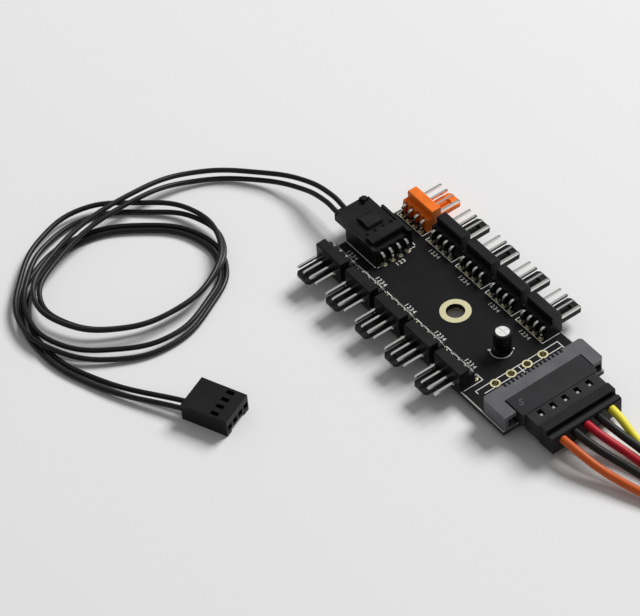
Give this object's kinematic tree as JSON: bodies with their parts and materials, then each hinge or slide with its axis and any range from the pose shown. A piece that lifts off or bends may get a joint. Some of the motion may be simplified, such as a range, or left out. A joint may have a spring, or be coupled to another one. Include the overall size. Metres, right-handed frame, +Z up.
{
  "type": "pc fan controller hub",
  "caption": "Narrow circuit board with right-angle pin headers along both long sides for cooling fans, a coiled control lead at one end and a power lead at the other.",
  "frame": {"origin": "on the floor under the middle of the board and its headers, without the leads", "axes": "+Z up, +Y along the board towards its control end, +X across the board"},
  "size_m": [0.1446, 0.207, 0.0108],
  "materials": {
    "solder_mask": "dark satin solder mask on glass fibre board",
    "header_black": "moulded nylon",
    "header_orange": "moulded nylon",
    "power_grey": "moulded, slightly glossy",
    "plug_black": "moulded",
    "tin": "bright tin plate",
    "solder": "solder",
    "gold": "thin gold plate",
    "ink": "white printing ink",
    "aluminium_can": "bright drawn can",
    "sleeve_black": "shrunk sleeve",
    "seal_rubber": "rubber",
    "wire_black": "soft PVC insulation",
    "wire_orange": "soft PVC insulation",
    "wire_red": "soft PVC insulation",
    "wire_yellow": "soft PVC insulation"
  },
  "bodies": {
    "root": {"capacitor_can": "aluminium_can", "capacitor_leads": "tin", "capacitor_seal": "seal_rubber", "capacitor_sleeve": "sleeve_black", "circuit_board": "solder_mask", "control_header": "header_black", "control_pins": "tin", "control_plug": "plug_black", "control_terminals": "tin", "control_wire_1": "wire_black", "control_wire_2": "wire_black", "fan_header_left_1": "header_black", "fan_header_left_2": "header_black", "fan_header_left_3": "header_black", "fan_header_left_4": "header_black", "fan_header_left_5": "header_black", "fan_header_right_1": "header_orange", "fan_header_right_2": "header_black", "fan_header_right_3": "header_black", "fan_header_right_4": "header_black", "fan_header_right_5": "header_black", "fan_pins_left_1": "tin", "fan_pins_left_2": "tin", "fan_pins_left_3": "tin", "fan_pins_left_4": "tin", "fan_pins_left_5": "tin", "fan_pins_right_1": "tin", "fan_pins_right_2": "tin", "fan_pins_right_3": "tin", "fan_pins_right_4": "tin", "fan_pins_right_5": "tin", "far_connector": "plug_black", "far_contacts": "gold", "lead_socket": "plug_black", "mounting_hole_ring": "gold", "plug_cap": "plug_black", "plug_contacts": "tin", "power_coil": "wire_black", "power_contacts": "gold", "power_header": "power_grey", "power_plug": "plug_black", "power_wire_1": "wire_orange", "power_wire_2": "wire_black", "power_wire_3": "wire_red", "power_wire_4": "wire_black", "power_wire_5": "wire_yellow", "printed_lines": "ink", "socket_terminals": "tin", "solder_joints": "solder", "spare_pads": "gold"}
  },
  "joints": []
}
